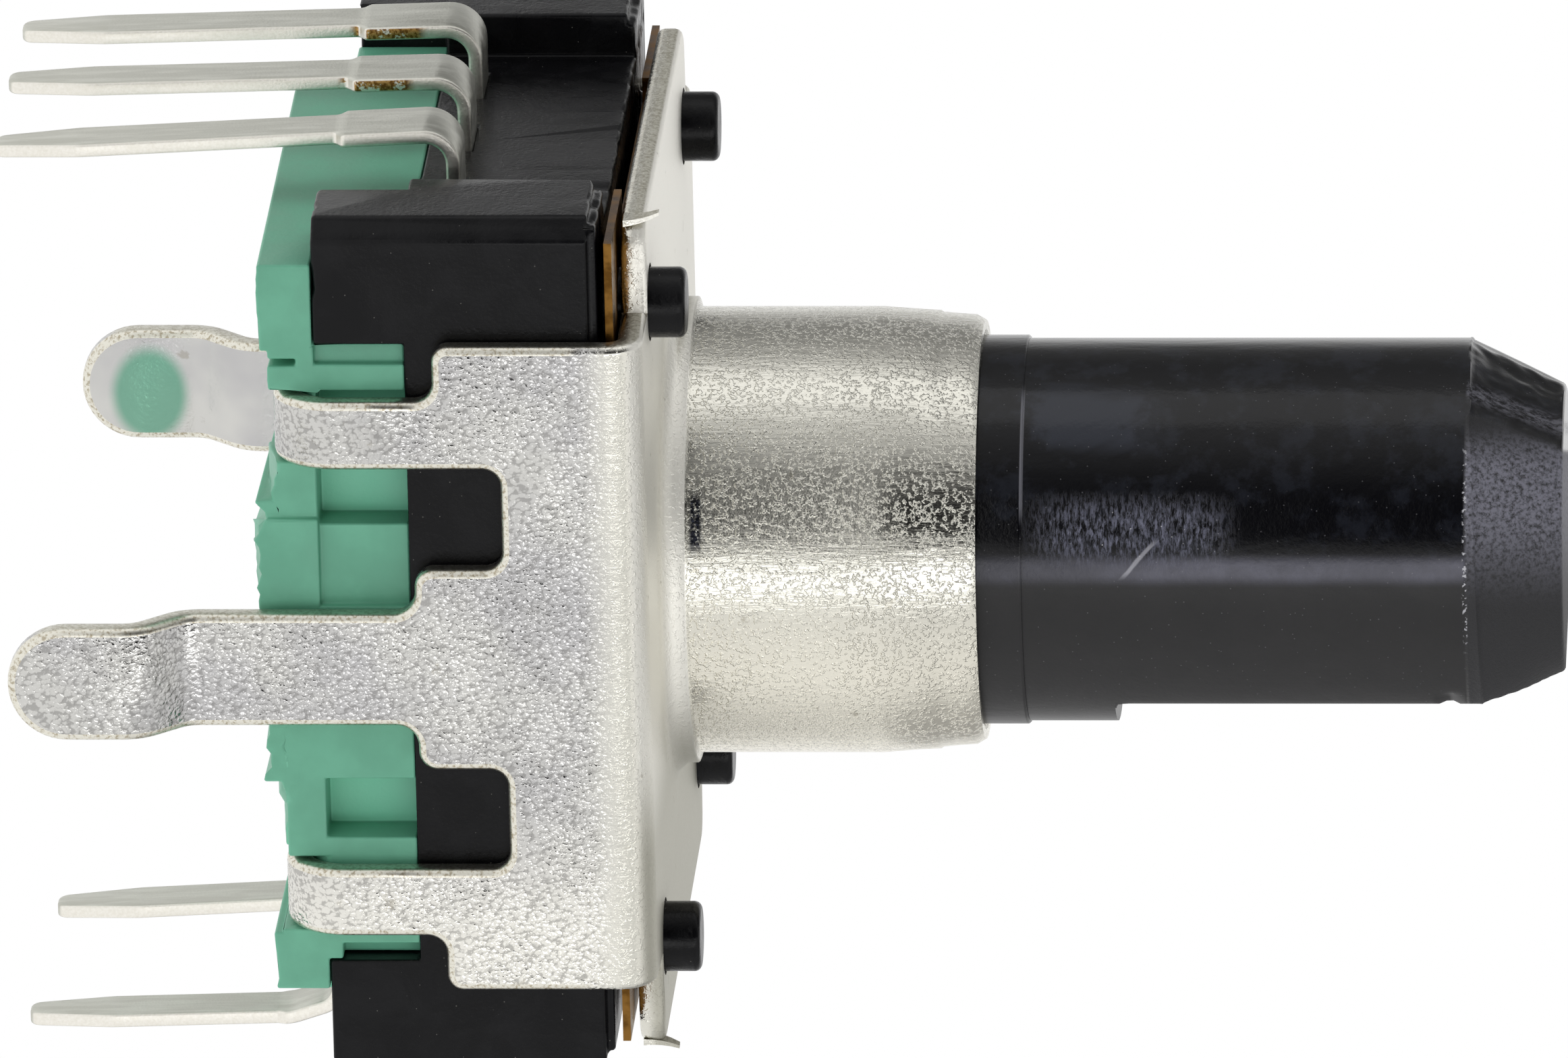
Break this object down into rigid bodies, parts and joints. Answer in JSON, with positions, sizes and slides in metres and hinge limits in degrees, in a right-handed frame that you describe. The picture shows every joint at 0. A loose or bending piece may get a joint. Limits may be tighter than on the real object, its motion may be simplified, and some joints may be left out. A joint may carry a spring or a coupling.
{
  "type": "rotary encoder",
  "caption": "Incremental rotary encoder with push switch: D-shaft in a plain bushing, snap-in steel bracket, black housing, green switch case and board pins.",
  "frame": {"origin": "on the shaft axis, in the plane where the switch case stands on the circuit board", "axes": "+Z along the shaft to its tip, +X towards the row of signal terminals, +Y towards a side wall of the bracket"},
  "size_m": [0.0151, 0.0142, 0.0243],
  "materials": {
    "plated_steel": "bright plated, fine orange-peel texture",
    "plated_brass": "matte tin plate",
    "bronze": "bare sprung sheet",
    "dome_steel": "bare sprung steel",
    "contact_metal": "polished contact alloy",
    "shaft_plastic": "smooth, scuffed",
    "black_plastic": "glossy moulded",
    "rotor_plastic": "natural",
    "green_plastic": "satin moulded"
  },
  "bodies": {
    "housing": {"bracket": "plated_steel", "housing": "black_plastic", "click_spring": "bronze", "terminal_a": "plated_brass", "terminal_c": "plated_brass", "terminal_b": "plated_brass", "wiper_a": "bronze", "wiper_c": "bronze", "wiper_b": "bronze", "switch_case": "green_plastic", "switch_terminal_d": "plated_brass", "switch_terminal_e": "plated_brass", "contact_dome": "dome_steel"},
    "rotor": {"rotor": "rotor_plastic", "code_plate": "contact_metal"},
    "shaft": {"shaft": "shaft_plastic"},
    "plunger": {"plunger": "rotor_plastic"}
  },
  "joints": [
    {"name": "shaft_turn", "type": "hinge", "parent": "housing", "child": "rotor", "pos_m": [0, 0, 0], "axis": [0, 0, 1], "continuous": true, "deforming": ["click_spring"]},
    {"name": "shaft_push", "type": "slide", "parent": "rotor", "child": "shaft", "axis": [0, 0, -1], "range_m": [0, 0.0005], "stiffness_N_per_m": 4000, "springref_m": -0.0002},
    {"name": "plunger_press", "type": "slide", "parent": "housing", "child": "plunger", "axis": [0, 0, -1], "range_m": [0, 0.0005], "deforming": ["contact_dome"]}
  ],
  "couplings": [
    {"joint": "plunger_press", "follows": "shaft_push", "ratio": 1}
  ]
}
